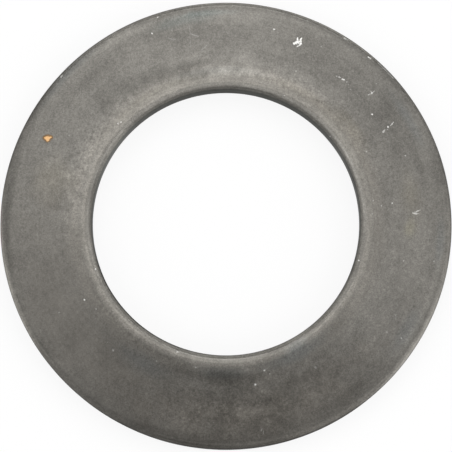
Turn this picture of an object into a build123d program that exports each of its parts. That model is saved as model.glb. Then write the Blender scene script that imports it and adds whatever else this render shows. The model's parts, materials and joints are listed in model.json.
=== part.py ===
from build123d import *
import os
from math import acos, cos, radians, sin, sqrt, tan

# Belleville washer: a spring steel ring, blanked from strip and pressed into a shallow cone.
# It lies on the lower edge of its rim, with the bore lifted. The flank is straight over most
# of its width, curls up a little more steeply in a lip round the bore, and rolls down in a
# crown beside the rim. The upper edges carry the soft roll that blanking and tumbling leave,
# and the lower edges are only broken. The bore and the rim are plain cylinders that guide
# the washer on a shaft or in a counterbore.
#
# The axis of the bore is Z, and the lower edge of the rim touches Z = 0.

# Driving sizes, in millimetres and degrees
OUTSIDE_DIAMETER = 70.0
BORE_DIAMETER = 41.4
THICKNESS = 4.0  # square to the flank
FLANK_ANGLE = 5.0  # rise of the straight flank towards the bore
LIP_WIDTH = 5.2  # ring round the bore, in plan, that curls up
LIP_RADIUS = 60.0  # underside of that curl
CROWN_WIDTH = 2.9  # ring inside the rim, in plan, that rolls down
CROWN_RADIUS = 17.0  # upper face of that roll
BORE_ROLL = 1.25  # rounding of the bore's upper edge
RIM_ROLL = 1.1  # rounding of the rim's upper edge
BORE_BREAK = 0.3  # chamfer of the bore's lower edge
RIM_BREAK = 0.3  # chamfer of the rim's lower edge

# The edges leave at least this share of each cylinder plain between them
PLAIN_WALL_SHARE = 0.25

bore_radius = BORE_DIAMETER / 2
rim_radius = OUTSIDE_DIAMETER / 2
flank_slope = radians(FLANK_ANGLE)
up_the_flank = Vector(-cos(flank_slope), sin(flank_slope))
out_of_face = Vector(sin(flank_slope), cos(flank_slope))


def on_flank(start: Vector, radius: float) -> Vector:
    """The point at that radius from the axis, on the line up the flank through start."""
    return start + up_the_flank * ((start.X - radius) / cos(flank_slope))


def on_arc(radius: float, centre: Vector, arc_radius: float, side: int) -> Vector:
    """The point of an arc at that radius from the axis, above its centre (1) or below (-1)."""
    height = sqrt(arc_radius**2 - (radius - centre.X) ** 2)
    return Vector(radius, centre.Y + side * height)


def edges_that_fit(wall: float, roll: float, turn: float, chamfer_size: float) -> tuple:
    """The roll and the chamfer of a wall, both made smaller where the wall is too low."""
    reach = roll * tan(turn / 2) + chamfer_size
    share = min(1.0, wall * (1 - PLAIN_WALL_SHARE) / reach)
    return roll * share, chamfer_size * share


def finish_wall(section, low: Vector, high: Vector, face_end: Vector, roll: float, edge_break: float):
    """Rounds the upper corner of a wall and chamfers its lower one, within the wall's height."""
    turn = acos(-face_end.Y / face_end.length)
    roll, edge_break = edges_that_fit(high.Y - low.Y, roll, turn, edge_break)
    fillet(section.vertices().sort_by_distance(high)[0], roll)
    chamfer(section.vertices().sort_by_distance(low)[0], edge_break)


def half_section() -> Sketch:
    """The washer's section on one side of its axis, as a face in the XZ plane."""
    rim_low = Vector(rim_radius, 0)
    knee_low = on_flank(rim_low, bore_radius + LIP_WIDTH)
    knee_high = knee_low + out_of_face * THICKNESS

    # Both faces of the lip turn about one centre, so the strip keeps its thickness there
    lip_centre = knee_low + out_of_face * LIP_RADIUS
    bore_low = on_arc(bore_radius, lip_centre, LIP_RADIUS, -1)
    bore_high = on_arc(bore_radius, lip_centre, LIP_RADIUS - THICKNESS, -1)

    crown_start = on_flank(knee_high, rim_radius - CROWN_WIDTH)
    crown_centre = crown_start - out_of_face * CROWN_RADIUS
    rim_high = on_arc(rim_radius, crown_centre, CROWN_RADIUS, 1)

    with BuildSketch(Plane.XZ) as section:
        with BuildLine():
            Line(rim_low, knee_low)
            TangentArc(knee_low, bore_low, tangent=up_the_flank)
            Line(bore_low, bore_high)
            lip = TangentArc(knee_high, bore_high, tangent=up_the_flank)
            Line(knee_high, crown_start)
            crown = TangentArc(crown_start, rim_high, tangent=-up_the_flank)
            Line(rim_high, rim_low)
        make_face()
        finish_wall(section, bore_low, bore_high, lip % 1, BORE_ROLL, BORE_BREAK)
        finish_wall(section, rim_low, rim_high, crown % 1, RIM_ROLL, RIM_BREAK)
    return section.sketch


def washer() -> Part:
    """The whole ring, one solid, lying on Z = 0."""
    ring = revolve(half_section(), Axis.Z)
    return ring.moved(Location((0, 0, -ring.bounding_box().min.Z)))


os.makedirs("parts", exist_ok=True)
export_step(washer(), "parts/washer.step")
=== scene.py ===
"""The looks of a belleville washer: a dark phosphated spring steel ring on a pale floor."""

import json
import logging
import math
from collections.abc import Iterable
from dataclasses import asdict, dataclass
from enum import Enum

import bmesh
import bpy
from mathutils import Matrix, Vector, kdtree, noise


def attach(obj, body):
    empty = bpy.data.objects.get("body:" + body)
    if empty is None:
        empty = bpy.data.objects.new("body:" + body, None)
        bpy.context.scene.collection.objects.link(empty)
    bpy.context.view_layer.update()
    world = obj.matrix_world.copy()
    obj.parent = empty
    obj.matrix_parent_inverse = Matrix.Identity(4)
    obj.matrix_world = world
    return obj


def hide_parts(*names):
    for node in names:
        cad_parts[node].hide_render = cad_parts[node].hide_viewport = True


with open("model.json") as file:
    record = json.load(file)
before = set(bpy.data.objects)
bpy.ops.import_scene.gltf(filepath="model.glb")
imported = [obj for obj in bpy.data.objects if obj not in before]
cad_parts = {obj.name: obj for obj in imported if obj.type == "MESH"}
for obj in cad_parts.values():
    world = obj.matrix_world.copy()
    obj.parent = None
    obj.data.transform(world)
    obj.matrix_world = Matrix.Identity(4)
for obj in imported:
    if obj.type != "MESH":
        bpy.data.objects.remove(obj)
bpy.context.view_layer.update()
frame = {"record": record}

MILLIMETRE = 0.001
NODE = "washer"
BODY = "root"
SLOT = "phosphated_steel"
HOURS = 12

Colour = tuple[float, float, float, float]
Socket = bpy.types.NodeSocket
Feed = Socket | float | Colour | Vector

log = logging.getLogger("washer")


def mount_radius(name: str) -> float:
    """Gives the wall radius of one of the part's round mounts.

    Args:
        name: The mount's name in the record.

    Returns:
        The radius in metres.
    """
    mounts = {mount["name"]: mount for mount in frame["record"]["mounts"]}
    return mounts[name]["dims"]["r_mm"] * MILLIMETRE


def clock_point(hour: float, radius: float) -> Vector:
    """Gives a point of the floor's plane from its place on a clock face, with twelve at +Y.

    Args:
        hour: The hour, from 0 to 12.
        radius: The distance from the axis, in millimetres.

    Returns:
        The point in metres.
    """
    turn = math.tau * hour / HOURS
    return Vector((math.sin(turn) * radius, math.cos(turn) * radius, 0.0)) * MILLIMETRE


class SectionPen:
    """Draws an outline in the XZ plane of a new mesh, one stretch after another."""

    def __init__(self, start: Vector) -> None:
        """Puts the pen down.

        Args:
            start: The outline's first point.
        """
        self.mesh = bmesh.new()
        self.tip = self.mesh.verts.new(start)

    def line_to(self, end: Vector, cells: int) -> None:
        """Draws a straight stretch.

        Args:
            end: Where the stretch ends.
            cells: How many edges it is divided into.
        """
        start = self.tip.co.copy()
        for cell in range(1, cells + 1):
            grown = bmesh.ops.extrude_vert_indiv(self.mesh, verts=[self.tip])
            self.tip = grown["verts"][0]
            self.tip.co = start.lerp(end, cell / cells)

    def arc_to(self, end: Vector, centre: Vector, cells: int) -> None:
        """Draws an arc the short way round its centre.

        Args:
            end: Where the arc ends, as far from the centre as the pen is now.
            centre: The arc's centre.
            cells: How many edges it is divided into.
        """
        before = self.tip.co - centre
        after = end - centre
        turn = math.atan2(after.x, after.z) - math.atan2(before.x, before.z)
        turn = (turn + math.pi) % math.tau - math.pi
        swept = bmesh.ops.spin(
            self.mesh, geom=[self.tip], cent=centre, axis=(0, 1, 0), angle=turn, steps=cells
        )
        self.tip = next(v for v in swept["geom_last"] if isinstance(v, bmesh.types.BMVert))
        self.tip.co = end


@dataclass(frozen=True)
class WasherSection:
    """The washer's section: a straight flank with a lip round the bore and a crown by the rim.

    Sizes are in metres and radians.
    """

    bore_radius: float
    rim_radius: float
    thickness: float = 4.0 * MILLIMETRE
    flank_angle: float = math.radians(5.0)
    lip_width: float = 5.2 * MILLIMETRE
    lip_radius: float = 60.0 * MILLIMETRE
    crown_width: float = 2.9 * MILLIMETRE
    crown_radius: float = 17.0 * MILLIMETRE
    bore_roll: float = 1.25 * MILLIMETRE
    rim_roll: float = 1.1 * MILLIMETRE
    edge_break: float = 0.3 * MILLIMETRE

    @property
    def up_the_flank(self) -> Vector:
        """Direction up the straight flank, towards the bore."""
        return Vector((-math.cos(self.flank_angle), 0.0, math.sin(self.flank_angle)))

    @property
    def out_of_face(self) -> Vector:
        """Direction square to the flank, out of the upper face."""
        return Vector((math.sin(self.flank_angle), 0.0, math.cos(self.flank_angle)))

    @property
    def foot(self) -> Vector:
        """Where the underside and the rim's wall would meet, with no chamfer."""
        return Vector((self.rim_radius, 0.0, -self.edge_break * math.sin(self.flank_angle)))

    def on_flank(self, start: Vector, radius: float) -> Vector:
        """Gives the point at a radius on the line up the flank through another point.

        Args:
            start: A point of the line.
            radius: The wanted distance from the axis.

        Returns:
            The point.
        """
        return start + self.up_the_flank * ((start.x - radius) / math.cos(self.flank_angle))

    @staticmethod
    def on_arc(radius: float, centre: Vector, arc_radius: float, side: int) -> Vector:
        """Gives the point of an arc at a distance from the axis.

        Args:
            radius: The distance from the axis.
            centre: The arc's centre.
            arc_radius: The arc's radius.
            side: 1 for the point above the centre, -1 for the one below.

        Returns:
            The point.
        """
        rise = math.sqrt(arc_radius**2 - (radius - centre.x) ** 2)
        return Vector((radius, 0.0, centre.z + side * rise))

    def draw(self) -> bmesh.types.BMesh:
        """Draws the closed outline, from the flank inwards and round.

        Returns:
            A new mesh that holds the outline's edges.
        """
        knee_low = self.on_flank(self.foot, self.bore_radius + self.lip_width)
        knee_high = knee_low + self.out_of_face * self.thickness
        lip_centre = knee_low + self.out_of_face * self.lip_radius
        crown_start = self.on_flank(knee_high, self.rim_radius - self.crown_width)
        crown_centre = crown_start - self.out_of_face * self.crown_radius
        face_arc = self.lip_radius - self.thickness

        roll_in = self.on_arc(
            self.bore_radius + self.bore_roll, lip_centre, face_arc + self.bore_roll, -1
        )
        lip_end = lip_centre + (roll_in - lip_centre).normalized() * face_arc
        roll_out = self.on_arc(
            self.rim_radius - self.rim_roll, crown_centre, self.crown_radius - self.rim_roll, 1
        )
        crown_end = crown_centre + (roll_out - crown_centre).normalized() * self.crown_radius
        bore_low = self.on_arc(self.bore_radius, lip_centre, self.lip_radius, -1)
        lip_foot = self.on_arc(self.bore_radius + self.edge_break, lip_centre, self.lip_radius, -1)
        flank_foot = self.foot + self.up_the_flank * self.edge_break

        pen = SectionPen(crown_start)
        pen.line_to(knee_high, cells=16)
        pen.arc_to(lip_end, lip_centre, cells=12)
        pen.arc_to(roll_in - Vector((self.bore_roll, 0, 0)), roll_in, cells=12)
        pen.line_to(bore_low + Vector((0, 0, self.edge_break)), cells=5)
        pen.line_to(lip_foot, cells=1)
        pen.arc_to(knee_low, lip_centre, cells=8)
        pen.line_to(flank_foot, cells=12)
        pen.line_to(self.foot + Vector((0, 0, self.edge_break)), cells=1)
        pen.line_to(roll_out + Vector((self.rim_roll, 0, 0)), cells=7)
        pen.arc_to(crown_end, roll_out, cells=8)
        pen.arc_to(crown_start, crown_centre, cells=7)
        return pen.mesh


@dataclass(frozen=True)
class Stroke:
    """A place where the coat is gone: a spot, or a scratch with a width at each end.

    Both ends lie on the floor's plane, in metres, and the widths and the depth are in millimetres.
    """

    start: Vector
    end: Vector
    width: float
    tip: float
    bareness: float = 1.0  # how bright the steel shows, from 0 to 1
    depth: float = 0.03

    @property
    def run(self) -> Vector:
        """From the stroke's start to its end."""
        return self.end - self.start

    def cover(self, place: Vector) -> float:
        """Tells how deep in the stroke a place lies.

        Args:
            place: A point of the washer's upper face.

        Returns:
            1 on the stroke's middle line, falling to 0 at its sides.
        """
        run = self.run
        flat = Vector((place.x, place.y, 0)) - self.start
        along = flat.dot(run) / run.length_squared if run.length_squared else 0.0
        along = min(max(along, 0.0), 1.0)
        half = (self.width + (self.tip - self.width) * along) / 2 * MILLIMETRE
        return max(0.0, 1 - (flat - run * along).length / half)

    def samples(self, step: float) -> list[Vector]:
        """Gives points along the stroke.

        Args:
            step: The spacing between them.

        Returns:
            The points, both ends included.
        """
        count = max(1, round(self.run.length / step))
        return [self.start + self.run * (index / count) for index in range(count + 1)]


def scratch(
    start: tuple[float, float],
    end: tuple[float, float],
    width: float,
    bareness: float,
    depth: float = 0.03,
) -> Stroke:
    """Makes a stroke that narrows a little towards its end.

    Args:
        start: Its clock hour and its distance from the axis in millimetres.
        end: The same for its end.
        width: Its width at the start, in millimetres.
        bareness: How bright the steel shows in it.
        depth: How deep it is cut, in millimetres.

    Returns:
        The stroke.
    """
    narrowed = 0.75
    return Stroke(clock_point(*start), clock_point(*end), width, width * narrowed, bareness, depth)


def spot(hour: float, radius: float, bareness: float, width: float = 0.0) -> Stroke:
    """Makes a round stroke.

    Args:
        hour: The clock hour of its middle.
        radius: The distance of its middle from the axis, in millimetres.
        bareness: How bright the steel shows in it.
        width: Its width in millimetres, or 0 for one that goes with its bareness.

    Returns:
        The stroke.
    """
    smallest, growth = 0.2, 0.18
    middle = clock_point(hour, radius)
    width = width or smallest + growth * bareness
    return Stroke(middle, middle, width, width, bareness)


@dataclass(frozen=True)
class Splash:
    """A mark made of arms that run together.

    Each of its arms runs between two places, (to the east, to the north) of its middle, and has
    a width at each end, all in millimetres.
    """

    hour: float
    radius: float
    depth: float  # in millimetres, below 0 for a crust that stands up
    arms: tuple[tuple[tuple[float, float], tuple[float, float], float, float], ...]

    def strokes(self, growth: float = 0.0) -> list[Stroke]:
        """Gives the mark's arms.

        Args:
            growth: How much wider than drawn they are, in millimetres.

        Returns:
            The arms.
        """
        middle = clock_point(self.hour, self.radius)
        return [
            Stroke(
                middle + Vector((*root, 0)) * MILLIMETRE,
                middle + Vector((*tip, 0)) * MILLIMETRE,
                root_width + growth,
                tip_width + growth,
                depth=self.depth,
            )
            for root, tip, root_width, tip_width in self.arms
        ]


# the one large chip in the coat, bare steel with prongs
CHIP = Splash(
    hour=0.725,
    radius=30.4,
    depth=0.09,
    arms=(
        ((-0.14, 0.02), (0.24, 0.08), 0.74, 0.66),  # the middle
        ((-0.30, -0.10), (-0.58, -0.16), 0.58, 0.58),  # the blunt west end
        ((-0.04, 0.22), (-0.10, 0.86), 0.50, 0.14),  # the two prongs to the north
        ((0.36, 0.20), (0.50, 0.74), 0.44, 0.26),
        ((0.42, 0.10), (0.46, -0.24), 0.44, 0.36),  # the east side
        ((0.42, -0.28), (-0.16, -0.70), 0.36, 0.20),  # the hook to the south
    ),
)

# the one speck of light rust, a thin crust
RUST = Splash(
    hour=9.84,
    radius=30.65,
    depth=-0.03,
    arms=(
        ((-0.10, 0.00), (0.14, 0.00), 0.86, 0.84),  # the middle
        ((-0.10, 0.04), (-0.40, 0.06), 0.64, 0.40),  # the west end
        ((0.14, 0.08), (0.56, 0.12), 0.52, 0.24),  # the pointed east end
        ((0.00, -0.08), (0.02, -0.24), 0.84, 0.68),  # the foot
    ),
)

BARE_MARKS: tuple[Stroke, ...] = (
    # bright spots, from twelve o'clock round to twelve
    spot(0.465, 31.3, 0.65),
    spot(0.725, 34.3, 0.4),
    spot(0.825, 26.0, 0.3),
    spot(0.83, 21.6, 0.5),
    spot(0.945, 31.4, 0.25),
    spot(1.435, 28.4, 0.2),
    spot(1.495, 28.0, 0.15),
    spot(1.525, 28.6, 0.12),
    spot(1.575, 32.0, 0.25),
    spot(1.69, 20.9, 0.3),
    spot(1.785, 28.2, 0.75),
    spot(1.82, 27.7, 0.15),
    spot(2.115, 28.1, 0.12),
    spot(2.12, 24.3, 0.3),
    spot(2.325, 29.7, 0.5),
    spot(2.74, 22.9, 0.3),
    spot(2.795, 25.8, 0.6),
    spot(2.815, 24.1, 0.45),
    spot(2.915, 22.6, 0.2),
    spot(3.365, 32.6, 0.35),
    spot(3.425, 28.0, 0.3),
    spot(3.565, 21.3, 0.7),
    spot(4.13, 32.4, 0.35),
    spot(4.16, 30.0, 0.12, 0.5),
    spot(4.96, 26.4, 0.16, 0.45),
    spot(5.475, 24.5, 0.3),
    spot(5.525, 23.8, 0.8),
    spot(5.665, 25.6, 0.95),
    spot(6.115, 31.0, 0.15),
    spot(6.385, 23.1, 0.4),
    spot(6.67, 21.6, 0.5),
    spot(6.87, 24.1, 0.25),
    spot(7.36, 26.4, 0.2, 0.42),
    spot(7.47, 26.1, 0.15),
    spot(7.85, 24.1, 0.35),
    spot(8.02, 24.9, 1.0),
    spot(8.035, 29.2, 0.2),
    spot(8.31, 21.4, 0.5),
    spot(9.965, 27.8, 0.3),
    spot(10.41, 22.6, 0.5),
    spot(10.45, 22.4, 0.65),
    spot(11.29, 31.9, 0.65),
    spot(11.39, 34.1, 0.45),
    # broken scratches
    spot(1.235, 28.6, 0.3),
    scratch((1.26, 28.7), (1.275, 28.8), 0.24, 0.5),
    scratch((1.30, 28.8), (1.325, 28.9), 0.26, 0.7),
    spot(1.355, 28.9, 0.25),
    spot(1.385, 28.8, 0.2),
    scratch((1.605, 29.8), (1.61, 30.1), 0.24, 0.35),
    spot(1.615, 30.4, 0.75, 0.4),
    spot(1.595, 30.5, 0.3),
    scratch((1.615, 30.7), (1.615, 31.0), 0.22, 0.35),
    scratch((2.005, 28.1), (1.995, 28.5), 0.36, 0.35),
    spot(2.005, 28.9, 0.2),
    spot(1.985, 29.2, 0.85, 0.38),
    scratch((1.985, 29.6), (1.98, 29.9), 0.22, 0.4),
    scratch((1.98, 30.0), (1.97, 30.3), 0.20, 0.55),
    scratch((2.915, 28.9), (2.92, 29.3), 0.30, 0.4),
    scratch((2.92, 29.2), (2.925, 29.7), 0.30, 0.45),
    scratch((2.905, 29.2), (2.90, 29.6), 0.20, 0.35),
    scratch((2.90, 29.5), (2.89, 30.1), 0.22, 0.6),
    scratch((3.97, 29.8), (4.01, 30.2), 0.20, 0.15),
    scratch((5.675, 32.4), (5.685, 32.7), 0.26, 0.2),
    scratch((5.665, 32.8), (5.675, 33.2), 0.22, 0.2),
    # faint hairs
    scratch((11.65, 31.5), (11.645, 30.1), 0.18, 0.09, 0.01),
    scratch((11.65, 30.1), (11.72, 29.5), 0.24, 0.13, 0.01),
    scratch((11.64, 29.5), (11.62, 28.0), 0.16, 0.07, 0.01),
    scratch((11.73, 27.2), (11.80, 28.0), 0.26, 0.09, 0.01),
    scratch((11.42, 30.3), (11.50, 29.6), 0.22, 0.08, 0.01),
    # nicks in the rim's rolled edge
    scratch((1.085, 34.5), (1.115, 34.6), 0.40, 0.6, 0.08),
    scratch((1.355, 34.2), (1.375, 34.3), 0.36, 0.6, 0.06),
    scratch((1.455, 34.7), (1.635, 34.6), 0.26, 0.4, 0.06),
    scratch((10.38, 34.4), (10.40, 34.5), 0.34, 0.45, 0.06),
)


@dataclass(frozen=True)
class Unevenness:
    """The slight waves that pressing and tumbling leave, all of them sunk below the true face."""

    depth: float = 0.022 * MILLIMETRE
    size: float = 6.0 * MILLIMETRE
    ripple_depth: float = 0.006 * MILLIMETRE
    ripple_size: float = 1.7 * MILLIMETRE

    def sink(self, place: Vector) -> float:
        """Tells how far the face lies below its true form.

        Args:
            place: A point of the face.

        Returns:
            The depth in metres, never negative.
        """
        wave = (1 + noise.noise(place / self.size)) / 2
        ripple = (1 + noise.noise(place / self.ripple_size)) / 2
        return self.depth * wave + self.ripple_depth * ripple


class UpperFace:
    """The points of a ring's upper face, sorted for a quick search from above."""

    def __init__(self, ring: bmesh.types.BMesh) -> None:
        """Sorts the points.

        Args:
            ring: The ring's mesh, with its normals up to date.
        """
        self.points = [vert for vert in ring.verts if vert.normal.z > 0]
        self.tree = kdtree.KDTree(len(self.points))
        for index, vert in enumerate(self.points):
            self.tree.insert((vert.co.x, vert.co.y, 0), index)
        self.tree.balance()

    def near(self, stroke: Stroke, margin: float) -> set[bmesh.types.BMVert]:
        """Finds the points of the face in and round a stroke.

        Args:
            stroke: The stroke.
            margin: How far round it to look.

        Returns:
            The points.
        """
        reach = max(stroke.width, stroke.tip) / 2 * MILLIMETRE + margin
        found: set[bmesh.types.BMVert] = set()
        for sample in stroke.samples(step=margin):
            found.update(self.points[index] for _, index, _ in self.tree.find_range(sample, reach))
        return found


@dataclass(frozen=True)
class WasherRing:
    """The washer's visible mesh, its section turned round the axis and worn."""

    section: WasherSection
    strokes: tuple[Stroke, ...]
    name: str = "washer_ring"
    unevenness: Unevenness = Unevenness()
    columns: int = 540
    quick_columns: int = 240
    merge_distance: float = 1e-6
    fine_cuts: int = 3
    fine_margin: float = 0.4 * MILLIMETRE

    def turn(self) -> bmesh.types.BMesh:
        """Turns the section round the axis and closes the seam.

        Returns:
            The ring, true to its section.
        """
        ring = self.section.draw()
        bmesh.ops.spin(
            ring,
            geom=ring.verts[:] + ring.edges[:],
            cent=(0, 0, 0),
            axis=(0, 0, 1),
            angle=math.tau,
            steps=self.columns,
            use_merge=True,
        )
        bmesh.ops.remove_doubles(ring, verts=ring.verts, dist=self.merge_distance)
        bmesh.ops.recalc_face_normals(ring, faces=ring.faces)
        ring.normal_update()
        return ring

    def refine(self, ring: bmesh.types.BMesh) -> None:
        """Divides the mesh more finely round each stroke.

        Args:
            ring: The ring's mesh.
        """
        face = UpperFace(ring)
        near: set[bmesh.types.BMVert] = set()
        for stroke in self.strokes:
            near |= face.near(stroke, self.fine_margin)
        edges = [edge for edge in ring.edges if near.issuperset(edge.verts)]
        bmesh.ops.subdivide_edges(ring, edges=edges, cuts=self.fine_cuts, use_grid_fill=True)
        odd = [part for part in ring.faces if len(part.verts) > 4]
        bmesh.ops.triangulate(ring, faces=odd)
        ring.normal_update()

    def wear(self, ring: bmesh.types.BMesh) -> None:
        """Sinks the whole surface a little and cuts the strokes into it.

        Args:
            ring: The ring's mesh.
        """
        depths = {vert: self.unevenness.sink(vert.co) for vert in ring.verts}
        face = UpperFace(ring)
        for stroke in self.strokes:
            for vert in face.near(stroke, self.fine_margin):
                depths[vert] += stroke.depth * MILLIMETRE * stroke.cover(vert.co)
        for vert, depth in depths.items():
            vert.co -= vert.normal * depth

    def build(self) -> bpy.types.Object:
        """Makes the ring.

        Returns:
            The new object, at the origin.
        """
        ring = self.turn()
        self.refine(ring)
        self.wear(ring)
        for part in ring.faces:
            part.smooth = True
        data = bpy.data.meshes.new(self.name)
        ring.to_mesh(data)
        ring.free()
        piece = bpy.data.objects.new(self.name, data)
        bpy.context.scene.collection.objects.link(piece)
        return piece


class Sheet:
    """Lays nodes out in one node tree and joins them up."""

    def __init__(self, tree: bpy.types.NodeTree, shelf: "EffectShelf | None" = None) -> None:
        """Takes up a tree.

        Args:
            tree: The tree of a material or of a node group.
            shelf: The shared effects, for a material that uses them.
        """
        self.tree = tree
        self.shelf = shelf

    def feed(self, socket: Socket, value: Feed) -> None:
        """Sets a socket, by a link where the value comes from another node.

        Args:
            socket: The socket to feed.
            value: A constant, or another node's output.
        """
        if isinstance(value, bpy.types.NodeSocket):
            self.tree.links.new(value, socket)
        else:
            socket.default_value = value

    def add(
        self, kind: str, inputs: dict[str | int, Feed] | None = None, **settings: object
    ) -> bpy.types.Node:
        """Adds a node.

        Args:
            kind: The node's type.
            inputs: What feeds its sockets, by name or number.
            **settings: Its own settings.

        Returns:
            The node.
        """
        node = self.tree.nodes.new(kind)
        for name, value in settings.items():
            setattr(node, name, value)
        for key, value in (inputs or {}).items():
            self.feed(node.inputs[key], value)
        return node

    def math(self, operation: str, *values: Feed) -> Socket:
        """Works out a number from other numbers, by one operation."""
        return self.add("ShaderNodeMath", dict(enumerate(values)), operation=operation).outputs[0]

    def vector(self, operation: str, *values: Feed) -> bpy.types.Node:
        """Adds a vector operation, a node whose outputs are Vector and Value."""
        return self.add("ShaderNodeVectorMath", dict(enumerate(values)), operation=operation)

    def fade(self, value: Feed, none: Feed, full: Feed) -> Socket:
        """Turns a value into a mask with soft sides.

        Args:
            value: The value.
            none: Where the mask is 0.
            full: Where the mask is 1.

        Returns:
            The mask.
        """
        ranges = {"Value": value, "From Min": none, "From Max": full}
        node = self.add("ShaderNodeMapRange", ranges, interpolation_type="SMOOTHSTEP")
        return node.outputs["Result"]

    def mix(self, blend: str, factor: Feed, first: Feed, second: Feed) -> Socket:
        """Blends two colours.

        Args:
            blend: How they are blended, such as MIX or MULTIPLY.
            factor: How much of the second is used.
            first: The colour below.
            second: The colour above.

        Returns:
            The blend.
        """
        node = self.add("ShaderNodeMix", data_type="RGBA", blend_type=blend, clamp_factor=True)
        for socket, value in zip((node.inputs[0], *node.inputs[6:8]), (factor, first, second)):
            self.feed(socket, value)
        return node.outputs[2]

    def noise(self, place: Feed, size: Feed, seed: Feed, detail: float = 2.0) -> Socket:
        """Adds a cloudy noise.

        Args:
            place: The coordinates, in millimetres.
            size: How large its blots are, in millimetres.
            seed: Which of its patterns to use.
            detail: How much fine detail it has.

        Returns:
            The noise, mostly between 0.3 and 0.7.
        """
        scale = self.math("DIVIDE", 1.0, size) if isinstance(size, Socket) else 1.0 / size
        inputs = {"Vector": place, "W": seed, "Scale": scale, "Detail": detail}
        return self.add("ShaderNodeTexNoise", inputs, noise_dimensions="4D").outputs["Fac"]

    def place(self) -> Socket:
        """Gives the place on the piece in millimetres."""
        place = self.add("ShaderNodeTexCoord").outputs["Object"]
        node = self.vector("SCALE", place)
        node.inputs["Scale"].default_value = 1 / MILLIMETRE
        return node.outputs["Vector"]

    def clock(self) -> tuple[Socket, Socket]:
        """Gives the distance from the axis, in millimetres, and the clock hour."""
        parts = self.add("ShaderNodeSeparateXYZ", {0: self.place()}).outputs
        radius = self.vector("LENGTH", self.flat(parts)).outputs["Value"]
        turn = self.math("ARCTAN2", parts["X"], parts["Y"])
        return radius, self.math("MULTIPLY", turn, HOURS / math.tau)

    def flat(self, parts: Iterable[Socket]) -> Socket:
        """Gives a place seen from above, with no height, from its X, Y and Z."""
        across, along, _ = parts
        return self.add("ShaderNodeCombineXYZ", {0: across, 1: along}).outputs[0]

    def effect(self, effect: "Effect", **inputs: Feed) -> Socket:
        """Places the node group of a shared effect.

        Args:
            effect: The effect.
            **inputs: What feeds its inputs, by name.

        Returns:
            The effect's mask.
        """
        node = self.add("ShaderNodeGroup", node_tree=self.shelf[effect])
        for name, value in inputs.items():
            self.feed(node.inputs[name.capitalize()], value)
        return node.outputs[0]


class Effect(Enum):
    """The effects that the finishes share, each of them one node group."""

    CLOUD = "cloud"
    BAND = "band"
    STAIN = "stain"
    STREAK = "streak"
    SPECK = "speck"
    STROKE = "stroke"


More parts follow.
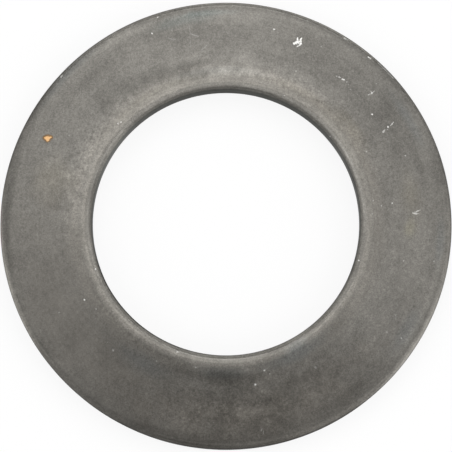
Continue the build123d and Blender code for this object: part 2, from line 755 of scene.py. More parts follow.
@dataclass(frozen=True)
class EffectShelf:
    """Builds the node groups of the effects, once each."""

    groups: dict[Effect, bpy.types.NodeTree]

    @classmethod
    def stocked(cls) -> "EffectShelf":
        """Builds every group and gives the shelf that holds them."""
        makers = {
            Effect.CLOUD: cls.make_cloud,
            Effect.BAND: cls.make_band,
            Effect.STAIN: cls.make_stain,
            Effect.STREAK: cls.make_streak,
            Effect.SPECK: cls.make_speck,
            Effect.STROKE: cls.make_stroke,
        }
        return cls({effect: maker() for effect, maker in makers.items()})

    def __getitem__(self, effect: Effect) -> bpy.types.NodeTree:
        """Gives the group of one effect."""
        return self.groups[effect]

    @staticmethod
    def start(
        effect: Effect, floats: dict[str, float], vectors: tuple[str, ...] = ()
    ) -> tuple[Sheet, bpy.types.NodeInputs, Socket]:
        """Starts a group with one output, a mask.

        Args:
            effect: The effect that it makes.
            floats: Its number inputs and their usual values.
            vectors: Its vector inputs.

        Returns:
            The group's sheet, its inputs inside the group, and the socket to feed the mask to.
        """
        group = bpy.data.node_groups.new(effect.value, "ShaderNodeTree")
        for name, value in floats.items():
            socket = group.interface.new_socket(name, in_out="INPUT", socket_type="NodeSocketFloat")
            socket.default_value = value
        for name in vectors:
            group.interface.new_socket(name, in_out="INPUT", socket_type="NodeSocketVector")
        group.interface.new_socket("Mask", in_out="OUTPUT", socket_type="NodeSocketFloat")
        sheet = Sheet(group)
        given = sheet.add("NodeGroupInput").outputs
        return sheet, given, sheet.add("NodeGroupOutput").inputs["Mask"]

    @classmethod
    def make_cloud(cls) -> bpy.types.NodeTree:
        """Builds soft blots of one size, with a contrast."""
        sheet, given, mask = cls.start(Effect.CLOUD, {"Size": 5.0, "Seed": 0.0, "Contrast": 1.0})
        middle = 0.5
        blots = sheet.noise(sheet.place(), given["Size"], given["Seed"])
        swing = sheet.math("MULTIPLY", sheet.math("SUBTRACT", blots, middle), given["Contrast"])
        sheet.feed(mask, sheet.math("ADD", swing, middle))
        return sheet.tree

    @classmethod
    def make_band(cls) -> bpy.types.NodeTree:
        """Builds a ring at one radius that fades to both sides."""
        sheet, given, mask = cls.start(Effect.BAND, {"Radius": 22.0, "Inside": 1.0, "Outside": 1.0})
        radius, _ = sheet.clock()
        off = sheet.math("SUBTRACT", radius, given["Radius"])
        inner = sheet.fade(off, sheet.math("MULTIPLY", given["Inside"], -1.0), 0.0)
        outer = sheet.fade(off, given["Outside"], 0.0)
        sheet.feed(mask, sheet.math("MULTIPLY", inner, outer))
        return sheet.tree

    @classmethod
    def make_stain(cls) -> bpy.types.NodeTree:
        """Builds a patch that follows the ring, with a ragged soft side, for stains, painted
        highlights and painted shade, and for the other patches of the coat.

        Where is the place's clock hour and its distance from the axis, Middle is the same for the
        patch, Reach is how far the patch goes in each, and Blots is the noise that tears its side.

        Returns:
            The group.
        """
        usual = {"Blots": 0.0, "Raggedness": 0.8}
        sheet, given, mask = cls.start(Effect.STAIN, usual, ("Where", "Middle", "Reach"))
        none, full = 1.15, 0.1  # shares of the reach where the patch ends and where it is whole
        far = 1000.0  # beyond the ring, so that only the hour goes round
        half_turn = Vector((HOURS / 2, far, far))
        off = sheet.vector("SUBTRACT", given["Where"], given["Middle"]).outputs["Vector"]
        off = sheet.vector("WRAP", off, half_turn, -half_turn).outputs["Vector"]
        off = sheet.vector("DIVIDE", off, given["Reach"]).outputs["Vector"]
        reach = sheet.vector("LENGTH", off).outputs["Value"]
        torn = sheet.math("MULTIPLY_ADD", given["Blots"], given["Raggedness"], reach)
        sheet.feed(mask, sheet.fade(torn, none, full))
        return sheet.tree

    @classmethod
    def make_streak(cls) -> bpy.types.NodeTree:
        """Builds fine streaks that run round the ring."""
        sheet, given, mask = cls.start(Effect.STREAK, {"Length": 6.0, "Width": 0.4, "Seed": 0.0})
        radius, hour = sheet.clock()
        angle = sheet.math("MULTIPLY", hour, math.tau / HOURS)
        middle_radius = 28.0
        round_way = sheet.math("DIVIDE", middle_radius, given["Length"])
        turned = sheet.add(
            "ShaderNodeCombineXYZ",
            {
                0: sheet.math("MULTIPLY", sheet.math("SINE", angle), round_way),
                1: sheet.math("MULTIPLY", sheet.math("COSINE", angle), round_way),
                2: sheet.math("DIVIDE", radius, given["Width"]),
            },
        ).outputs[0]
        sheet.feed(mask, sheet.noise(turned, 1.0, given["Seed"]))
        return sheet.tree

    @classmethod
    def make_speck(cls) -> bpy.types.NodeTree:
        """Builds scattered specks, of which only a share shows."""
        usual = {"Spacing": 2.0, "Size": 0.3, "Share": 0.3, "Seed": 0.0}
        core = 0.3  # the share of a speck that is whole
        sheet, given, mask = cls.start(Effect.SPECK, usual)
        scale = sheet.math("DIVIDE", 1.0, given["Spacing"])
        moved = sheet.vector("ADD", sheet.place(), given["Seed"]).outputs["Vector"]
        cells = sheet.add("ShaderNodeTexVoronoi", {"Vector": moved, "Scale": scale}).outputs
        gap = sheet.math("MULTIPLY", cells["Distance"], given["Spacing"])
        size = sheet.math("MULTIPLY", given["Size"], 0.5)
        dot = sheet.fade(gap, size, sheet.math("MULTIPLY", size, core))
        pick = sheet.add("ShaderNodeSeparateXYZ", {0: cells["Color"]}).outputs["X"]
        shown = sheet.math("LESS_THAN", pick, given["Share"])
        sheet.feed(mask, sheet.math("MULTIPLY", dot, shown))
        return sheet.tree

    @classmethod
    def make_stroke(cls) -> bpy.types.NodeTree:
        """Builds a spot or a scratch, seen from above, with a width at each end."""
        usual = {"Width": 0.3, "Tip": 0.3}
        core = 0.45  # the share of a stroke's width that is whole
        least = 1e-6  # keeps a spot, whose run is 0, from dividing by 0
        sheet, given, mask = cls.start(Effect.STROKE, usual, ("Place", "Start", "Run"))
        off = sheet.vector("SUBTRACT", given["Place"], given["Start"]).outputs["Vector"]
        run = given["Run"]
        length = sheet.vector("DOT_PRODUCT", run, run).outputs["Value"]
        share = sheet.math(
            "DIVIDE",
            sheet.vector("DOT_PRODUCT", off, run).outputs["Value"],
            sheet.math("MAXIMUM", length, least),
        )
        along = sheet.math("MAXIMUM", sheet.math("MINIMUM", share, 1.0), 0.0)
        step = sheet.vector("SCALE", run)
        sheet.feed(step.inputs["Scale"], along)
        gap = sheet.vector("DISTANCE", off, step.outputs["Vector"]).outputs["Value"]
        taper = sheet.math("SUBTRACT", given["Tip"], given["Width"])
        wide = sheet.math("MULTIPLY_ADD", taper, along, given["Width"])
        half = sheet.math("MULTIPLY", wide, 0.5)
        sheet.feed(mask, sheet.fade(gap, half, sheet.math("MULTIPLY", half, core)))
        return sheet.tree


@dataclass(frozen=True)
class Patch:
    """A place on the ring's faces that follows the ring, with a ragged soft side."""

    hour: float
    radius: float  # of its middle, in millimetres
    hours: float  # how far it reaches to each side, round the ring
    width: float  # how far it reaches inwards and outwards, in millimetres
    raggedness: float = 0.6


@dataclass(frozen=True)
class StainAndPaintedLight:
    """A patch of the coat that is lighter, darker or another tint than the rest: some are stains of
    the coat, some are painted highlight and painted shade.
    """

    patch: Patch
    tint: Colour  # what the coat's colour is multiplied by


@dataclass(frozen=True)
class WearAndPaintedLightBand:
    """A ring of the coat, at one radius, lighter or darker than the rest: wear from handling and
    pressing, the whole dark coat of the walls, and painted highlight and painted shade.
    """

    radius: float
    inside: float  # how far it fades inwards, in millimetres
    outside: float  # how far it fades outwards
    tint: Colour


@dataclass(frozen=True)
class Mottle:
    """A layer of soft blots in the coat, over the whole of it or in one patch."""

    size: float  # of the blots, in millimetres
    seed: float
    swing: float  # from its darkest to its lightest
    patch: Patch | None = None


@dataclass(frozen=True)
class Flecks:
    """Scattered flecks in one patch of the coat."""

    spacing: float  # in millimetres
    size: float
    share: float  # of the places that hold one
    seed: float
    tint: Colour
    patch: Patch


@dataclass(frozen=True)
class Cloud:
    """Soft blots of one size, in a pattern that the seed picks."""

    size: float  # in millimetres
    seed: float
    contrast: float


def grey(level: float) -> Colour:
    """Gives a neutral tint.

    Args:
        level: How light it is, where 1 changes nothing.

    Returns:
        The tint.
    """
    return level, level, level, 1.0


def tint(level: float, warmth: float, green: float = 0.0) -> Colour:
    """Gives a tint of the coat.

    Args:
        level: How light it is, where 1 changes nothing.
        warmth: How far it leans to brown (above 0) or to teal (below 0).
        green: How far it leans to green.

    Returns:
        The tint.
    """
    return level * (1 + warmth), level * (1 + green), level * (1 - warmth), 1.0


def stain(
    hour: float,
    radius: float,
    hours: float,
    width: float,
    shade: float | Colour,
    raggedness: float = 0.9,
) -> StainAndPaintedLight:
    """Makes a patch of the coat's tone: a stain, a painted highlight or a painted shade.

    Args:
        hour: The clock hour of its middle.
        radius: The distance of its middle from the axis, in millimetres.
        hours: How far it reaches to each side, round the ring.
        width: How far it reaches inwards and outwards, in millimetres.
        shade: How light it is, where 1 changes nothing, or its tint.
        raggedness: How much its side is torn.

    Returns:
        The patch.
    """
    colour = shade if isinstance(shade, tuple) else grey(shade)
    return StainAndPaintedLight(Patch(hour, radius, hours, width, raggedness), colour)


@dataclass(frozen=True)
class PhosphateFinish:
    """Dark phosphate over spring steel: semi-matt, cloudy, grained, stained and lightly worn, with
    painted highlights and painted shade on its lip, its rolls and its walls.
    """

    slot: str
    strokes: tuple[Stroke, ...]
    rust: Splash
    bands: tuple[WearAndPaintedLightBand, ...]
    stains: tuple[StainAndPaintedLight, ...]
    patches: tuple[Mottle, ...]
    flecks: tuple[Flecks, ...]
    calm: Patch
    coat: Colour = (0.184, 0.176, 0.160, 1.0)
    bare_steel: Colour = (0.86, 0.85, 0.82, 1.0)
    grazing: Colour = (0.45, 0.45, 0.45, 1.0)  # how little the coat shines at a glancing angle
    rust_core: Colour = (0.85, 0.51, 0.24, 1.0)
    rust_edge: Colour = (0.24, 0.14, 0.06, 1.0)
    rust_outline: float = 0.54  # how much wider than the rust its outline is, in millimetres
    # the walls of the bore and of the rim, darker: they keep the whole dark coat, and the darkening
    # is also a painted shade
    walls: tuple[WearAndPaintedLightBand, ...] = (
        WearAndPaintedLightBand(20.72, 1.5, 0.25, tint(0.62, -0.03, 0.02)),
        WearAndPaintedLightBand(35.0, 0.12, 1.5, grey(0.3)),
    )
    mottling: tuple[Mottle, ...] = (
        Mottle(11.0, 3.0, 0.22),
        Mottle(5.0, 5.0, 0.14),
        Mottle(2.4, 8.0, 0.14),
        Mottle(0.9, 12.0, 0.16),
        Mottle(0.42, 21.0, 0.30),
        Mottle(0.2, 27.0, 0.56),
    )
    contrast: float = 2.0  # of the mottling
    coarse: float = 0.7  # blots finer than this are weaker in the calm patch
    calming: float = 0.4  # how much weaker
    streak_length: float = 5.0  # of the fine streaks round the ring, in millimetres
    streak_width: float = 0.4
    streak_seed: float = 5.0
    streak_swing: float = 0.24  # from their darkest to their lightest
    blot_size: float = 2.6  # of the blots that tear the sides of the stains, in millimetres
    blot_seed: float = 4.0
    blot_detail: float = 3.0
    tear_reach: float = 0.16  # how far the outlines of the marks are torn, in millimetres
    tear_size: float = 0.22
    roughness: float = 0.40
    sheen: Cloud = Cloud(3.0, 17.0, 0.5)
    sheen_swing: float = 0.12  # from its least rough to its roughest
    rust_roughness: float = 0.4  # what the rust adds
    grain: Cloud = Cloud(0.3, 31.0, 1.5)
    grain_depth: float = 0.006  # in millimetres
    rim_radius: float = mount_radius("rim") / MILLIMETRE
    flank_slope: float = math.tan(WasherSection.flank_angle)
    lower_face: float = 0.2  # millimetres above the underside where its marks end
    upper_face: float = 0.5  # millimetres above it where they are whole

    def upper(self, sheet: Sheet) -> Socket:
        """Masks the upper face and both walls, down to just above the underside."""
        radius, _ = sheet.clock()
        height = sheet.add("ShaderNodeSeparateXYZ", {0: sheet.place()}).outputs["Z"]
        inward = sheet.math("SUBTRACT", self.rim_radius, radius)
        above = sheet.math("MULTIPLY_ADD", inward, -self.flank_slope, height)
        return sheet.fade(above, self.lower_face, self.upper_face)

    def strokes_mask(self, sheet: Sheet, place: Socket, strokes: Iterable[Stroke]) -> Socket:
        """Masks several strokes, each as strongly as its bareness says.

        Args:
            sheet: The material's sheet.
            place: The place seen from above, in millimetres.
            strokes: The strokes.

        Returns:
            The mask.
        """
        mask: Feed = 0.0
        for stroke in strokes:
            cover = self.stroke_mask(sheet, place, stroke)
            mask = sheet.math("MAXIMUM", mask, sheet.math("MULTIPLY", cover, stroke.bareness))
        return mask

    def torn_place(self, sheet: Sheet) -> Socket:
        """Gives the place seen from above, shaken so that outlines become ragged.

        Args:
            sheet: The material's sheet.

        Returns:
            The place in millimetres.
        """
        middle = Vector((0.5, 0.5, 0.5))
        place = sheet.place()
        parts = sheet.add("ShaderNodeSeparateXYZ", {0: place}).outputs
        noisy = {"Vector": place, "Scale": 1 / self.tear_size, "Detail": 1.0}
        shake = sheet.add("ShaderNodeTexNoise", noisy).outputs["Color"]
        centred = sheet.vector("SUBTRACT", shake, middle).outputs["Vector"]
        moved = sheet.vector("SCALE", centred)
        moved.inputs["Scale"].default_value = 2 * self.tear_reach
        spread = sheet.add("ShaderNodeSeparateXYZ", {0: moved.outputs["Vector"]}).outputs
        return sheet.vector("ADD", sheet.flat(parts), sheet.flat(spread)).outputs["Vector"]

    @staticmethod
    def stroke_mask(sheet: Sheet, place: Socket, stroke: Stroke) -> Socket:
        """Masks one stroke, given the place seen from above, in millimetres."""
        return sheet.effect(
            Effect.STROKE,
            place=place,
            start=stroke.start / MILLIMETRE,
            run=stroke.run / MILLIMETRE,
            width=stroke.width,
            tip=stroke.tip,
        )

    @staticmethod
    def patch_mask(sheet: Sheet, where: dict[str, Socket], patch: Patch) -> Socket:
        """Masks one patch, given the place's clock hour, radius and noise."""
        return sheet.effect(
            Effect.STAIN,
            middle=Vector((patch.hour, patch.radius, 0)),
            reach=Vector((patch.hours, patch.width, 1)),
            raggedness=patch.raggedness,
            **where,
        )

    @staticmethod
    def tone(sheet: Sheet, blots: Socket, swing: float) -> Socket:
        """Turns blots into a tint that goes that far from its darkest to its lightest."""
        return sheet.mix("MIX", blots, grey(1 - swing / 2), grey(1 + swing / 2))

    def mottled(self, sheet: Sheet, where: dict[str, Socket], colour: Feed) -> Socket:
        """Lays the cloudy mottling and the fine streaks over a colour.

        Args:
            sheet: The material's sheet.
            where: What patch_mask needs to know of the place.
            colour: The colour below.

        Returns:
            The colour.
        """
        calm = self.patch_mask(sheet, where, self.calm)
        lively = sheet.math("MULTIPLY_ADD", calm, -self.calming, 1.0)
        for layer in (*self.mottling, *self.patches):
            cloud = Cloud(layer.size, layer.seed, self.contrast)
            tone = self.tone(sheet, sheet.effect(Effect.CLOUD, **asdict(cloud)), layer.swing)
            share: Feed = lively if layer.size < self.coarse else 1.0
            if layer.patch:
                share = self.patch_mask(sheet, where, layer.patch)
            colour = sheet.mix("MULTIPLY", share, colour, tone)
        streaks = sheet.effect(
            Effect.STREAK,
            length=self.streak_length,
            width=self.streak_width,
            seed=self.streak_seed,
        )
        tone = self.tone(sheet, streaks, self.streak_swing)
        return sheet.mix("MULTIPLY", 1.0, colour, tone)

    def flecked(self, sheet: Sheet, where: dict[str, Socket], colour: Socket) -> Socket:
        """Scatters the flecks over a colour.

        Args:
            sheet: The material's sheet.
            where: What patch_mask needs to know of the place.
            colour: The colour below.

        Returns:
            The colour.
        """
        for fleck in self.flecks:
            dots = sheet.effect(
                Effect.SPECK,
                spacing=fleck.spacing,
                size=fleck.size,
                share=fleck.share,
                seed=fleck.seed,
            )
            inside = self.patch_mask(sheet, where, fleck.patch)
            colour = sheet.mix("MULTIPLY", sheet.math("MULTIPLY", dots, inside), colour, fleck.tint)
        return colour

    @staticmethod
    def band_mask(sheet: Sheet, band: WearAndPaintedLightBand) -> Socket:
        """Masks one band."""
        return sheet.effect(
            Effect.BAND, radius=band.radius, inside=band.inside, outside=band.outside
        )

    def colour(self, sheet: Sheet, upper: Socket) -> Socket:
        """Works out the coat's colour, without its chips and its rust, with painted highlight and
        painted shade among its bands, stains and walls.

        Args:
            sheet: The material's sheet.
            upper: The mask of the upper face.

        Returns:
            The colour.
        """
        away, turn = sheet.clock()
        blots = sheet.noise(sheet.place(), self.blot_size, self.blot_seed, self.blot_detail)
        clock = sheet.add("ShaderNodeCombineXYZ", {0: turn, 1: away}).outputs[0]
        where = {"where": clock, "blots": sheet.math("SUBTRACT", blots, 0.5)}
        colour = self.mottled(sheet, where, self.coat)
        colour = self.flecked(sheet, where, colour)
        # the bands: polish and a painted highlight at the lip's crest, a painted shade at the rim's
        # roll
        for band in self.bands:
            share = sheet.math("MULTIPLY", self.band_mask(sheet, band), upper)
            colour = sheet.mix("MULTIPLY", share, colour, band.tint)
        # the stains: real stains, and painted highlights and painted shade by hour on the bore and
        # the rim's roll
        for stain in self.stains:
            mask = self.patch_mask(sheet, where, stain.patch)
            share = sheet.math("MULTIPLY", mask, upper)
            colour = sheet.mix("MULTIPLY", share, colour, stain.tint)
        # the walls: their whole dark coat, and a painted shade
        for wall in self.walls:
            mask = self.band_mask(sheet, wall)
            colour = sheet.mix("MULTIPLY", mask, colour, wall.tint)
        return colour

    def material(self, shelf: EffectShelf) -> bpy.types.Material:
        """Makes the finish.

        Args:
            shelf: The shared effects.

        Returns:
            The material.
        """
        steel = bpy.data.materials.new(self.slot)
        steel.use_nodes = True
        sheet = Sheet(steel.node_tree, shelf)
        shader = steel.node_tree.nodes["Principled BSDF"].inputs
        upper = self.upper(sheet)
        place = self.torn_place(sheet)
        marks = (self.strokes, self.rust.strokes(), self.rust.strokes(self.rust_outline))
        bare, core, edge = (
            sheet.math("MULTIPLY", self.strokes_mask(sheet, place, strokes), upper)
            for strokes in marks
        )
        colour = self.colour(sheet, upper)
        colour = sheet.mix("MIX", bare, colour, self.bare_steel)
        colour = sheet.mix("MIX", edge, colour, self.rust_edge)
        colour = sheet.mix("MIX", core, colour, self.rust_core)
        sheet.feed(shader["Base Color"], colour)
        sheet.feed(shader["Metallic"], sheet.math("SUBTRACT", 1.0, edge))
        grain = sheet.effect(Effect.CLOUD, **asdict(self.grain))
        sheen = sheet.effect(Effect.CLOUD, **asdict(self.sheen))
        least = self.roughness - self.sheen_swing / 2
        rough = sheet.math("MULTIPLY_ADD", sheen, self.sheen_swing, least)
        rough = sheet.math("MULTIPLY_ADD", edge, self.rust_roughness, rough)
        shader["Specular Tint"].default_value = self.grazing
        sheet.feed(shader["Roughness"], rough)
        bump = sheet.add("ShaderNodeBump", {"Height": grain, "Strength": 1.0})
        bump.inputs["Distance"].default_value = self.grain_depth * MILLIMETRE
        sheet.feed(shader["Normal"], bump.outputs["Normal"])
        return steel


@dataclass(frozen=True)
class Softbox:
    """A large soft lamp that faces the washer from one direction."""

    name: str
    hour: float  # the side of the washer that it stands on
    lean: float  # degrees from straight overhead
    strength: float  # how bright it looks, where 1 is white
    width: float = 0.5
    distance: float = 0.7

    def place(self) -> bpy.types.Object:
        """Makes the lamp and turns it to the washer.

        Returns:
            The lamp.
        """
        lamp = bpy.data.lights.new(self.name, "AREA")
        lamp.shape = "SQUARE"
        lamp.size = self.width
        lamp.energy = self.strength * math.pi * self.width**2
        lean = math.radians(self.lean)
        away = clock_point(self.hour, 1 / MILLIMETRE) * math.sin(lean)
        away.z = math.cos(lean)
        holder = bpy.data.objects.new(self.name, lamp)
        holder.location = away * self.distance
        holder.rotation_mode = "QUATERNION"
        holder.rotation_quaternion = away.to_track_quat("Z", "Y")
        bpy.context.scene.collection.objects.link(holder)
        return holder


@dataclass(frozen=True)
class PaleFloor:
    """The plain floor that the washer lies on, seen as a white backdrop with its shadow."""

    size: float = 12.0
    colour: Colour = (0.95, 0.95, 0.95, 1.0)
    roughness: float = 0.9
    glow: float = 0.87  # how much of it shows as plain white instead of by its light

    def build(self) -> None:
        """Makes the floor."""
        sheet = bmesh.new()
        bmesh.ops.create_grid(sheet, x_segments=1, y_segments=1, size=self.size / 2)
        data = bpy.data.meshes.new("floor")
        sheet.to_mesh(data)
        sheet.free()
        floor = bpy.data.objects.new("floor", data)
        bpy.context.scene.collection.objects.link(floor)
        data.materials.append(self.paper())

    def paper(self) -> bpy.types.Material:
        """Makes the floor's finish.

        Returns:
            The material.
        """
        paper = bpy.data.materials.new("pale_paper")
        paper.use_nodes = True
        sheet = Sheet(paper.node_tree)
        lit = paper.node_tree.nodes["Principled BSDF"]
        lit.inputs["Base Color"].default_value = self.colour
        lit.inputs["Roughness"].default_value = self.roughness
        lit.inputs["Specular IOR Level"].default_value = 0.0
        white = sheet.add("ShaderNodeEmission", {"Color": grey(1.0), "Strength": 1.0})
        rays = sheet.add("ShaderNodeLightPath").outputs
        seen = sheet.math("MAXIMUM", rays["Is Camera Ray"], rays["Is Glossy Ray"])
        seen = sheet.math("MAXIMUM", seen, rays["Is Transmission Ray"])
        share = sheet.math("MULTIPLY", seen, self.glow)
        mixed = sheet.add("ShaderNodeMixShader", {0: share, 1: lit.outputs[0], 2: white.outputs[0]})
        surface = paper.node_tree.nodes["Material Output"].inputs["Surface"]
        sheet.feed(surface, mixed.outputs[0])
        return paper


@dataclass(frozen=True)
class Camera:
    """The camera that looks down on the washer, leaning a little from overhead towards six."""

    tilt: float = math.radians(8.2)
    distance: float = 0.315
    lens: float = 161.6
    sensor: float = 36.0
    aim: tuple[float, float, float] = (0.0, -0.00048, 0.0025)
    nearest: float = 0.01
    farthest: float = 20.0

    def place(self) -> None:
        """Makes the camera and gives it to the scene."""
        lens = bpy.data.cameras.new("camera")
        lens.lens = self.lens
        lens.sensor_width = self.sensor
        lens.clip_start = self.nearest
        lens.clip_end = self.farthest
        holder = bpy.data.objects.new("camera", lens)
        back = Vector((0, -math.sin(self.tilt), math.cos(self.tilt)))
        holder.location = Vector(self.aim) + back * self.distance
        holder.rotation_mode = "QUATERNION"
        holder.rotation_quaternion = back.to_track_quat("Z", "Y")
        bpy.context.scene.collection.objects.link(holder)
        bpy.context.scene.camera = holder


@dataclass(frozen=True)
class Studio:
    """The floor, the lamps, the room and the camera."""

    floor: PaleFloor = PaleFloor()
    camera: Camera = Camera()
    ambient: float = 0.02
    lamps: tuple[Softbox, ...] = (
        Softbox("north_softbox", hour=0, lean=42, strength=1.21, width=0.3),
        Softbox("north_east_softbox", hour=0.85, lean=30, strength=1.08, width=0.8),
        Softbox("east_softbox", hour=3, lean=69, strength=1.90, width=0.85),
        Softbox("south_east_softbox", hour=5.1, lean=51, strength=0.95, width=0.7),
        Softbox("south_west_softbox", hour=7.8, lean=53, strength=0.73, width=0.85),
        Softbox("west_softbox", hour=9.25, lean=68, strength=1.32, width=0.75),
        Softbox("north_west_softbox", hour=10.5, lean=31, strength=0.89, width=0.5),
    )

    def build(self) -> None:
        """Makes everything that stands round the washer."""
        self.floor.build()
        for lamp in self.lamps:
            lamp.place()
        self.make_room()
        self.camera.place()

    def make_room(self) -> None:
        """Makes the even light of the room."""
        world = bpy.data.worlds.new("room")
        world.use_nodes = True
        light = world.node_tree.nodes["Background"].inputs
        light["Color"].default_value = grey(1.0)
        light["Strength"].default_value = self.ambient
        bpy.context.scene.world = world


WEAR_AND_PAINTED_LIGHT_BANDS: tuple[WearAndPaintedLightBand, ...] = (
    # the crest of the lip, lighter: the coat polished thin there, and a painted highlight
    WearAndPaintedLightBand(22.0, 0.6, 0.85, tint(1.62, 0.01)),
    WearAndPaintedLightBand(23.2, 1.0, 2.4, tint(1.15, 0.01)),
    # the rim, darkened from its roll inwards: a painted shade
    WearAndPaintedLightBand(34.5, 1.4, 1.0, grey(0.78)),
)

OLIVE, TEAL, BROWN = tint(1.02, 0.028, 0.012), tint(0.95, -0.035), tint(1.0, 0.025)
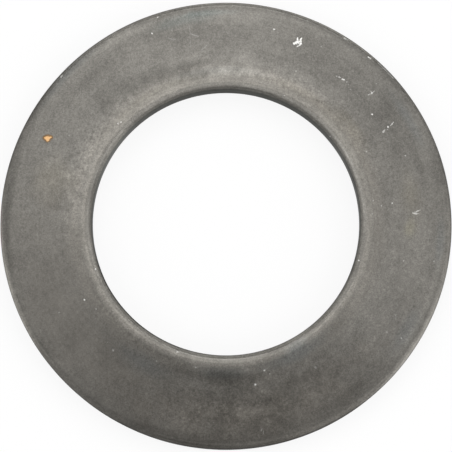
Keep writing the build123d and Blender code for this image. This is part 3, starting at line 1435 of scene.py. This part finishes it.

# Stains of the coat, and patches of painted highlight and painted shade: each one's clock hour and
# radius, its reach in hours and in millimetres, its shade or its tint, and its raggedness where
# that isn't the usual one
STAINS_AND_PAINTED_LIGHT: tuple[StainAndPaintedLight, ...] = (
    # the bore's wall, darkest at twelve, a painted shade, and its roll and lip, lighter and darker
    # by hour: uneven polish and painted highlights, brightest on the roll at six and twelve
    stain(0.0, 20.6, 1.8, 0.6, 0.78, 0.2),
    stain(7.6, 20.7, 0.9, 0.3, 0.45, 0.2),
    stain(10.0, 20.8, 0.9, 0.4, 1.7, 0.2),
    stain(0.0, 21.45, 2.4, 0.6, 1.9, 0.2),
    stain(0.4, 21.6, 1.5, 0.22, 1.15, 0.1),
    stain(11.2, 21.3, 1.2, 0.3, 0.8, 0.2),
    stain(0.1, 22.1, 2.2, 0.4, 0.78, 0.2),
    stain(0.5, 22.9, 1.3, 0.4, 1.1, 0.4),
    stain(0.5, 23.8, 0.9, 0.9, 1.2, 0.6),
    stain(1.05, 24.0, 0.35, 2.2, 1.18, 0.6),
    stain(11.95, 23.6, 0.3, 1.7, 1.2, 0.6),
    stain(11.5, 23.2, 0.35, 1.3, 0.82, 0.6),
    stain(2.3, 21.5, 1.1, 0.42, 1.42, 0.3),
    stain(4.4, 21.3, 0.9, 0.36, 1.4, 0.3),
    stain(2.7, 22.05, 1.0, 0.5, 0.82, 0.2),
    stain(3.7, 23.0, 0.5, 1.0, 1.2, 0.6),
    stain(6.0, 21.2, 2.5, 0.4, 2.4, 0.2),
    stain(5.7, 21.7, 1.1, 0.4, 0.8, 0.3),
    stain(6.0, 22.2, 0.7, 1.0, 0.9, 0.3),
    stain(5.7, 21.0, 0.8, 0.18, 0.8, 0.2),
    stain(8.1, 20.72, 0.6, 0.2, 0.5, 0.2),
    stain(9.5, 21.1, 0.9, 0.3, 0.64, 0.2),
    stain(9.6, 21.7, 0.4, 0.25, 1.2, 0.3),
    stain(10.5, 22.25, 0.6, 0.4, 0.83, 0.3),
    stain(8.6, 22.15, 0.4, 0.3, 0.87, 0.3),
    stain(9.0, 23.2, 0.4, 0.9, 1.18, 0.3),
    stain(4.6, 22.8, 0.5, 0.5, 1.12, 0.3),
    stain(4.7, 20.85, 0.5, 0.18, 1.35, 0.2),
    stain(5.2, 21.2, 0.6, 0.3, 1.25, 0.3),
    stain(7.0, 21.2, 0.7, 0.3, 1.3, 0.3),
    stain(6.8, 20.8, 0.8, 0.25, 0.7, 0.3),
    stain(7.6, 22.9, 0.5, 0.7, 1.15, 0.3),
    stain(6.2, 22.35, 2.2, 0.7, 1.28, 0.4),
    stain(10.0, 22.8, 1.2, 0.6, 1.2, 0.6),
    # the rim's roll, lighter from ten to two, near four and near eight, and dark at six: painted
    # highlights and painted shade, with some polish
    stain(0.1, 34.52, 2.1, 0.42, 2.8, 0.25),
    stain(1.4, 34.6, 0.6, 0.28, 1.25, 0.25),
    stain(0.2, 34.85, 0.8, 0.25, 0.85, 0.25),
    stain(10.6, 34.95, 1.6, 0.45, 0.6, 0.2),
    stain(10.9, 34.5, 0.9, 0.3, 1.24, 0.3),
    stain(8.0, 34.8, 0.3, 0.25, 1.35, 0.3),
    stain(5.0, 35.0, 0.6, 0.3, 0.7, 0.2),
    stain(3.1, 34.3, 0.6, 0.3, 0.84, 0.3),
    stain(3.3, 34.8, 0.5, 0.25, 1.25, 0.3),
    stain(7.0, 34.2, 1.8, 0.4, 0.82, 0.3),
    stain(10.7, 34.35, 0.9, 0.45, 1.5, 0.3),
    stain(2.5, 34.4, 0.4, 0.5, 0.75, 0.3),
    stain(4.1, 34.85, 0.8, 0.4, 2.2, 0.4),
    stain(4.9, 34.7, 0.8, 0.35, 1.4, 0.4),
    stain(8.6, 34.85, 0.8, 0.36, 2.1, 0.4),
    stain(6.2, 35.0, 1.9, 0.4, 0.5, 0.2),
    # lighter patches of the flank
    stain(0.7, 25.2, 1.0, 1.9, 1.2),
    stain(0.1, 32.2, 0.5, 1.3, 1.12),
    stain(0.5, 33.6, 0.5, 0.8, 1.15),
    stain(3.4, 30.4, 0.7, 2.6, 1.22),
    stain(3.5, 33.4, 0.5, 1.0, 1.18),
    stain(4.0, 25.2, 0.7, 2.4, 1.26),
    stain(4.0, 33.2, 0.4, 1.0, 1.2),
    stain(9.4, 24.3, 0.6, 2.0, 1.25),
    stain(10.6, 33.7, 0.5, 0.8, 1.2),
    stain(11.05, 33.8, 0.45, 0.9, 1.3),
    stain(11.5, 27.0, 0.3, 1.3, 1.14),
    stain(11.55, 26.0, 0.35, 0.9, 1.35),
    stain(0.5, 28.2, 0.3, 1.2, 1.12),
    stain(9.5, 26.0, 0.3, 1.6, 1.1),
    stain(4.5, 25.0, 0.3, 1.2, 1.1),
    stain(3.6, 32.0, 0.35, 0.9, 1.14),
    stain(4.0, 31.0, 0.3, 2.5, 1.07),
    stain(8.5, 30.8, 0.3, 2.0, 1.07),
    stain(9.0, 28.0, 0.4, 6.0, 1.08),
    stain(0.0, 28.0, 0.3, 1.8, 1.08),
    stain(11.05, 33.2, 0.3, 1.0, 1.12),
    stain(3.5, 25.6, 0.8, 1.8, 1.1),
    stain(4.05, 28.2, 0.45, 2.0, 1.22),
    stain(9.9, 23.7, 0.35, 1.0, 1.18),
    stain(9.5, 28.2, 0.4, 3.0, 1.14),
    stain(3.1, 27.4, 0.5, 1.8, 1.13),
    # darker ones, with one small dark spot near four
    stain(2.0, 29.6, 0.45, 2.8, 0.85),
    stain(2.55, 33.7, 0.5, 1.7, 0.78),
    stain(5.2, 27.0, 0.4, 1.3, 0.75),
    stain(5.4, 32.4, 0.8, 1.8, 0.84),
    stain(6.15, 24.2, 0.7, 1.3, 0.66),
    stain(6.2, 33.8, 0.8, 1.0, 0.76),
    stain(9.0, 34.0, 0.6, 0.8, 0.76),
    stain(3.82, 31.7, 0.04, 0.28, 0.68, 0.2),
    stain(4.8, 32.8, 0.45, 1.5, 0.8),
    stain(5.5, 28.4, 0.35, 1.5, 0.8),
    stain(6.0, 26.8, 0.5, 2.5, 0.86),
    stain(10.6, 27.2, 0.5, 2.3, 0.86),
    stain(11.4, 24.3, 0.3, 0.9, 0.9),
    stain(1.9, 31.3, 0.8, 1.3, 0.88),
    stain(5.0, 29.5, 0.4, 2.5, 0.88),
    stain(10.6, 31.0, 0.4, 1.6, 0.85),
    stain(11.55, 30.0, 0.3, 2.0, 0.81),
    stain(2.5, 31.2, 0.3, 1.0, 0.86),
    stain(5.5, 28.8, 0.2, 1.0, 0.84),
    stain(6.0, 30.6, 0.3, 1.8, 0.88),
    stain(1.5, 28.2, 0.4, 1.9, 0.85),
    stain(1.0, 31.5, 0.3, 2.5, 0.93),
    stain(5.5, 30.2, 0.25, 1.0, 0.88),
    stain(6.0, 28.5, 0.35, 5.0, 0.9),
    stain(10.5, 25.9, 0.3, 1.3, 0.88),
    stain(10.2, 31.0, 0.5, 1.8, 0.93),
    stain(9.3, 33.5, 0.4, 0.6, 0.88),
    stain(11.2, 25.4, 0.7, 1.7, 0.75),
    # olive where the coat is thin, teal where it is thick, brown in its darkest part
    stain(1.3, 23.3, 1.5, 1.2, tint(1.02, 0.016, 0.005)),
    stain(11.0, 22.9, 1.1, 1.0, tint(1.01, 0.01, 0.006)),
    stain(0.0, 23.6, 0.8, 1.0, tint(1.0, -0.02)),
    stain(1.75, 24.6, 0.35, 1.2, OLIVE),
    stain(2.75, 28.8, 0.3, 1.9, OLIVE),
    stain(3.08, 28.4, 0.12, 1.2, tint(1.08, 0.05, 0.04)),
    stain(9.45, 27.4, 0.35, 4.0, OLIVE),
    stain(11.6, 32.6, 0.35, 1.3, tint(0.95, -0.04, 0.02)),
    stain(11.85, 33.2, 0.3, 0.6, tint(1.0, -0.04, 0.02)),
    stain(2.0, 32.6, 0.4, 1.1, TEAL),
    stain(3.2, 33.2, 0.3, 0.9, TEAL),
    stain(4.05, 32.4, 0.3, 1.5, TEAL),
    stain(5.1, 23.3, 0.6, 1.3, tint(0.95, -0.05)),
    stain(5.0, 22.0, 0.25, 0.9, tint(1.0, -0.03)),
    stain(6.05, 23.6, 0.45, 1.1, TEAL),
    stain(7.0, 25.3, 0.4, 1.9, TEAL),
    stain(10.4, 34.0, 0.5, 0.8, TEAL),
    stain(5.8, 30.0, 1.7, 6.5, BROWN),
    stain(7.8, 29.0, 1.5, 8.0, tint(1.0, 0.01)),
)

# The side near eight o'clock, where the coat is smoothest
CALM = Patch(7.9, 28.5, 1.3, 7.0, 0.4)

# Where the coat is blotchier than elsewhere, from large blots to grain
PATCHES: tuple[Mottle, ...] = (
    Mottle(1.5, 41.0, 0.5, Patch(5.7, 28.5, 1.1, 6.5)),
    Mottle(2.6, 44.0, 0.4, Patch(5.6, 30.0, 1.3, 6.0)),
    Mottle(1.2, 47.0, 0.4, Patch(0.0, 23.6, 2.9, 2.0)),
    Mottle(3.2, 49.0, 0.35, Patch(0.0, 26.0, 3.0, 5.0)),
    Mottle(1.3, 52.0, 0.4, Patch(9.5, 26.0, 0.7, 5.0)),
    Mottle(1.8, 55.0, 0.35, Patch(11.5, 31.5, 0.8, 3.0)),
    Mottle(0.42, 61.0, 0.6, Patch(9.9, 24.2, 1.3, 2.7)),
    Mottle(0.35, 67.0, 0.5, Patch(6.0, 29.0, 1.2, 8.0)),
    Mottle(0.35, 71.0, 0.4, Patch(1.4, 24.0, 1.7, 2.6)),
    Mottle(0.4, 73.0, 0.5, Patch(7.4, 22.6, 1.2, 1.6)),
)

# Pits and rubbed points that are too small and too many to place one by one
FLECKS: tuple[Flecks, ...] = (
    Flecks(1.1, 0.42, 0.35, 3.0, grey(0.72), Patch(0.2, 23.6, 2.8, 1.9)),
    Flecks(0.7, 0.3, 0.4, 29.0, grey(0.64), Patch(9.2, 23.8, 0.9, 2.0)),
    Flecks(0.8, 0.3, 0.35, 31.0, tint(1.42, 0.04, 0.015), Patch(9.3, 24.4, 0.9, 2.6)),
    Flecks(1.4, 0.5, 0.3, 7.0, tint(0.75, -0.02), Patch(6.4, 24.6, 1.4, 3.0)),
    Flecks(0.8, 0.24, 0.25, 11.0, grey(1.35), Patch(5.9, 21.7, 2.6, 0.8, 0.3)),
    Flecks(0.9, 0.26, 0.25, 17.0, grey(1.22), Patch(0.0, 29.0, 2.6, 7.0)),
    Flecks(0.6, 0.24, 0.35, 37.0, grey(1.45), Patch(11.75, 33.1, 0.35, 0.8)),
    Flecks(0.7, 0.26, 0.35, 43.0, grey(1.3), Patch(0.25, 33.2, 0.35, 0.8)),
    Flecks(1.0, 0.4, 0.3, 23.0, grey(0.82), Patch(5.6, 30.0, 1.4, 5.0)),
)


def dressed_washer(shelf: EffectShelf) -> bpy.types.Object:
    """Builds the washer with its finish, hides the part from model.glb and hangs the washer from
    its body.

    Args:
        shelf: The shared effects.

    Returns:
        The visible washer.
    """
    strokes = (*BARE_MARKS, *CHIP.strokes())
    section = WasherSection(mount_radius("bore"), mount_radius("rim"))
    washer = WasherRing(section, (*strokes, *RUST.strokes(PhosphateFinish.rust_outline))).build()
    finish = PhosphateFinish(SLOT, strokes, RUST, WEAR_AND_PAINTED_LIGHT_BANDS, STAINS_AND_PAINTED_LIGHT, PATCHES, FLECKS, CALM)
    washer.data.materials.append(finish.material(shelf))
    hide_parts(NODE)
    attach(washer, BODY)
    return washer


def main() -> None:
    """Builds the washer and its studio, and reports each piece."""
    bpy.context.scene.view_settings.view_transform = "Standard"
    Studio().build()
    washer = dressed_washer(EffectShelf.stocked())
    log.info("%s: %d faces", washer.name, len(washer.data.polygons))


if __name__ == "__main__":
    logging.basicConfig(level=logging.INFO, format="%(name)s: %(message)s")
    main()
